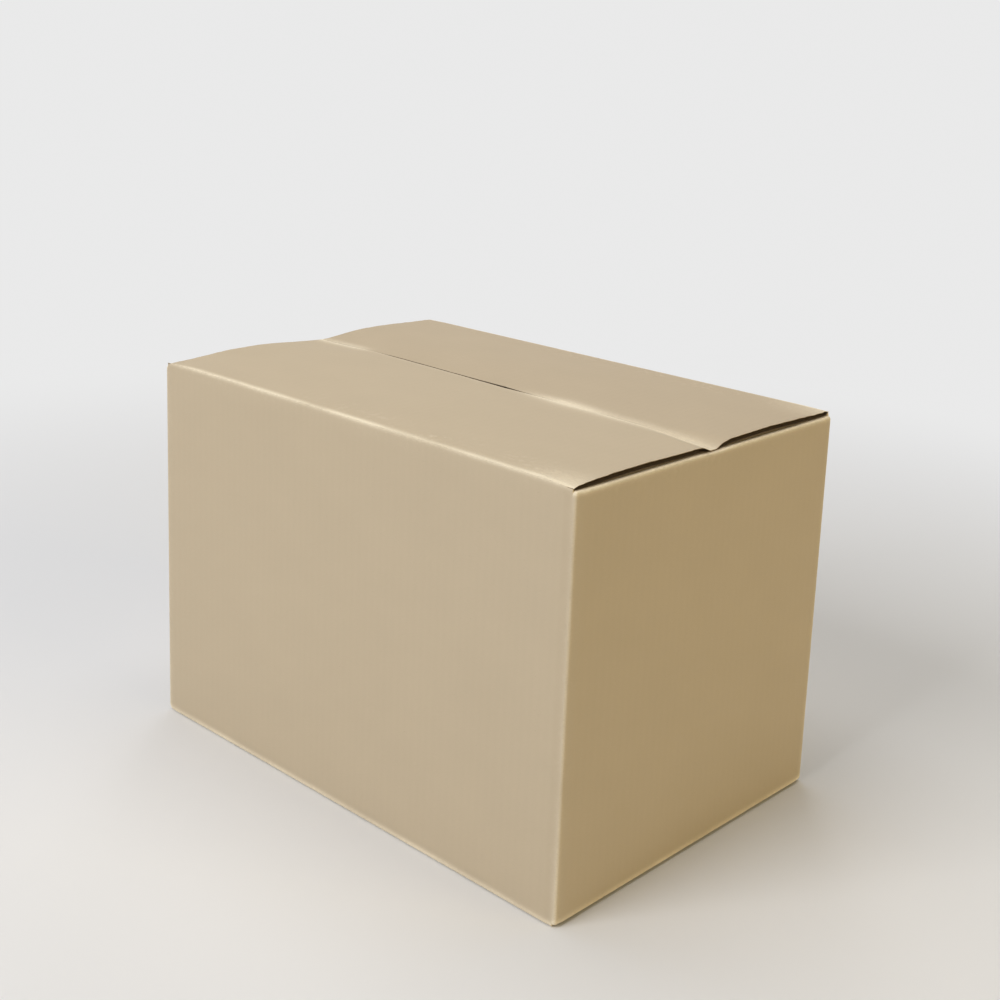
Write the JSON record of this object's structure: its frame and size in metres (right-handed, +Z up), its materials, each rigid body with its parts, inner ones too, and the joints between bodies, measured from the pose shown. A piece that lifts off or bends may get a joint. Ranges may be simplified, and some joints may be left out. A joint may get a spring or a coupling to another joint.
{
  "type": "closed cardboard box",
  "caption": "Regular slotted carton of single-wall corrugated board, closed, with two outer top flaps that turn on their creases.",
  "frame": {"origin": "on the ground, under the middle of the box", "axes": "+X along the long panels, with the front long panel facing -Y; +Z up through the closed top flaps"},
  "size_m": [0.465, 0.313, 0.3236],
  "materials": {
    "kraft_body": "uncoated kraft liner, matt",
    "kraft_front_flap": "uncoated kraft liner, matt",
    "kraft_back_flap": "uncoated kraft liner, matt"
  },
  "bodies": {
    "carton": {"carton_body": "kraft_body"},
    "front_flap": {"front_top_flap": "kraft_front_flap"},
    "back_flap": {"back_top_flap": "kraft_back_flap"}
  },
  "joints": [
    {"name": "front_flap_fold", "type": "hinge", "parent": "carton", "child": "front_flap", "pos_m": [0, -0.1557, 0.3205], "axis": [1, 0, 0], "range_deg": [0, 240]},
    {"name": "back_flap_fold", "type": "hinge", "parent": "carton", "child": "back_flap", "pos_m": [0, 0.1557, 0.3205], "axis": [-1, 0, 0], "range_deg": [0, 240]}
  ]
}
